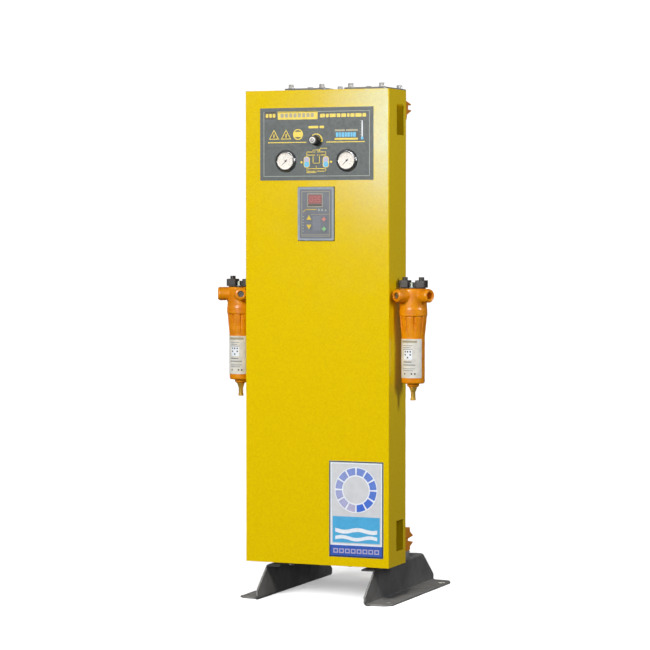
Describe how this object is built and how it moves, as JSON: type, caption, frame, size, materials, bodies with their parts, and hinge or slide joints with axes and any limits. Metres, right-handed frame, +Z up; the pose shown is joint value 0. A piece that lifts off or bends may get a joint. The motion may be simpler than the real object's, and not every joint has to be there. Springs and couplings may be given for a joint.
{
  "type": "compressed air dryer",
  "caption": "Twin-column adsorption air dryer on two bent feet, with a yellow front cover, two dial gauges, a controller and an orange in-line filter on each side.",
  "frame": {"origin": "on the floor under the middle of the bounding box", "axes": "+Z up, -Y towards the front cover, +X to the right seen from the front"},
  "size_m": [0.534, 0.456, 1.1839],
  "materials": {
    "yellow_powder_coat": "satin powder coat with a fine orange-peel texture",
    "orange_paint": "glossy orange paint on cast aluminium",
    "dark_grey_paint": "satin dark grey paint on bent sheet steel",
    "mill_aluminium": "extruded and machined aluminium",
    "zinc_steel": "zinc-plated steel",
    "desiccant": "packed white beads",
    "rubber": "black sealing rubber",
    "brass": "machined brass",
    "black_plastic": "black moulded plastic",
    "grey_label": "printed grey label film",
    "blue_plate": "printed blue and white film",
    "silver_label": "silver printed label",
    "filter_medium": "pleated filter medium",
    "chrome_bezel": "polished chrome",
    "cream_dial": "printed cream dial",
    "clear_glass": "clear window",
    "black_needle": "black painted needle",
    "grey_plastic": "blue-grey moulded plastic",
    "circuit_board": "green circuit board",
    "yellow_button": "yellow button",
    "red_button": "red button",
    "green_button": "green button",
    "spool_steel": "ground steel"
  },
  "bodies": {
    "dryer": {"foot_left": "dark_grey_paint", "foot_right": "dark_grey_paint", "column_a": "mill_aluminium", "column_b": "mill_aluminium", "desiccant_bed_a": "desiccant", "desiccant_bed_b": "desiccant", "bed_screens": "zinc_steel", "top_plate_a": "mill_aluminium", "top_plate_b": "mill_aluminium", "bottom_plate_a": "mill_aluminium", "bottom_plate_b": "mill_aluminium", "top_plate_screws": "zinc_steel", "bottom_plate_screws": "zinc_steel", "column_gaskets": "rubber", "top_manifold": "orange_paint", "bottom_manifold": "orange_paint", "shuttle_plugs": "zinc_steel", "exhaust_valves": "brass", "solenoid_coils": "black_plastic", "exhaust_silencers": "brass", "front_cover": "yellow_powder_coat", "cover_brackets": "zinc_steel", "bracket_screws": "zinc_steel", "cover_screws": "zinc_steel", "control_label": "grey_label", "info_plate": "blue_plate", "purge_valve_body": "brass", "pressure_tubes": "black_plastic", "gauge_cases": "black_plastic", "gauge_dials": "cream_dial", "gauge_windows": "clear_glass", "gauge_bezels": "chrome_bezel", "controller_housing": "grey_plastic", "controller_film": "grey_plastic", "controller_board": "circuit_board", "display_window": "clear_glass", "inlet_pipe": "zinc_steel", "outlet_pipe": "zinc_steel", "pipe_nipples": "zinc_steel", "filter_head_left": "orange_paint", "filter_head_right": "orange_paint", "filter_bowl_left": "orange_paint", "filter_bowl_right": "orange_paint", "filter_elements": "filter_medium", "filter_labels": "silver_label", "filter_caps": "black_plastic", "filter_test_plugs": "zinc_steel"},
    "inlet_shuttle": {"inlet_shuttle": "spool_steel"},
    "outlet_shuttle": {"outlet_shuttle": "spool_steel"},
    "plunger_a": {"plunger_a": "spool_steel"},
    "plunger_b": {"plunger_b": "spool_steel"},
    "purge_knob": {"purge_knob": "black_plastic"},
    "gauge_needle_a": {"gauge_needle_a": "black_needle"},
    "gauge_needle_b": {"gauge_needle_b": "black_needle"},
    "button_up": {"button_up": "yellow_button"},
    "button_down": {"button_down": "yellow_button"},
    "button_stop": {"button_stop": "red_button"},
    "button_start": {"button_start": "green_button"},
    "drain_cock_left": {"drain_cock_left": "brass"},
    "drain_cock_right": {"drain_cock_right": "brass"}
  },
  "joints": [
    {"name": "inlet_shuttle_slide", "type": "slide", "parent": "dryer", "child": "inlet_shuttle", "axis": [1, 0, 0], "range_m": [-0.016, 0.016]},
    {"name": "outlet_shuttle_slide", "type": "slide", "parent": "dryer", "child": "outlet_shuttle", "axis": [1, 0, 0], "range_m": [-0.016, 0.016]},
    {"name": "plunger_a_lift", "type": "slide", "parent": "dryer", "child": "plunger_a", "axis": [0, 0, 1], "range_m": [0, 0.004], "stiffness_N_per_m": 300},
    {"name": "plunger_b_lift", "type": "slide", "parent": "dryer", "child": "plunger_b", "axis": [0, 0, 1], "range_m": [0, 0.004], "stiffness_N_per_m": 300},
    {"name": "purge_knob_turn", "type": "hinge", "parent": "dryer", "child": "purge_knob", "pos_m": [0, -0.1885, 1.0495], "axis": [0, -1, 0], "range_deg": [0, 300]},
    {"name": "gauge_needle_a_swing", "type": "hinge", "parent": "dryer", "child": "gauge_needle_a", "pos_m": [-0.0748, -0.1905, 1.0033], "axis": [0, -1, 0], "range_deg": [-270, 0]},
    {"name": "gauge_needle_b_swing", "type": "hinge", "parent": "dryer", "child": "gauge_needle_b", "pos_m": [0.0748, -0.1905, 1.0033], "axis": [0, -1, 0], "range_deg": [-270, 0]},
    {"name": "button_up_press", "type": "slide", "parent": "dryer", "child": "button_up", "axis": [0, 1, 0], "range_m": [0, 0.0006], "stiffness_N_per_m": 900},
    {"name": "button_down_press", "type": "slide", "parent": "dryer", "child": "button_down", "axis": [0, 1, 0], "range_m": [0, 0.0006], "stiffness_N_per_m": 900},
    {"name": "button_stop_press", "type": "slide", "parent": "dryer", "child": "button_stop", "axis": [0, 1, 0], "range_m": [0, 0.0006], "stiffness_N_per_m": 900},
    {"name": "button_start_press", "type": "slide", "parent": "dryer", "child": "button_start", "axis": [0, 1, 0], "range_m": [0, 0.0006], "stiffness_N_per_m": 900},
    {"name": "drain_cock_left_turn", "type": "hinge", "parent": "dryer", "child": "drain_cock_left", "pos_m": [-0.2133, -0.1318, 0.4925], "axis": [0, 0, 1], "range_deg": [0, 90]},
    {"name": "drain_cock_right_turn", "type": "hinge", "parent": "dryer", "child": "drain_cock_right", "pos_m": [0.2133, -0.1318, 0.4925], "axis": [0, 0, 1], "range_deg": [0, 90]}
  ]
}
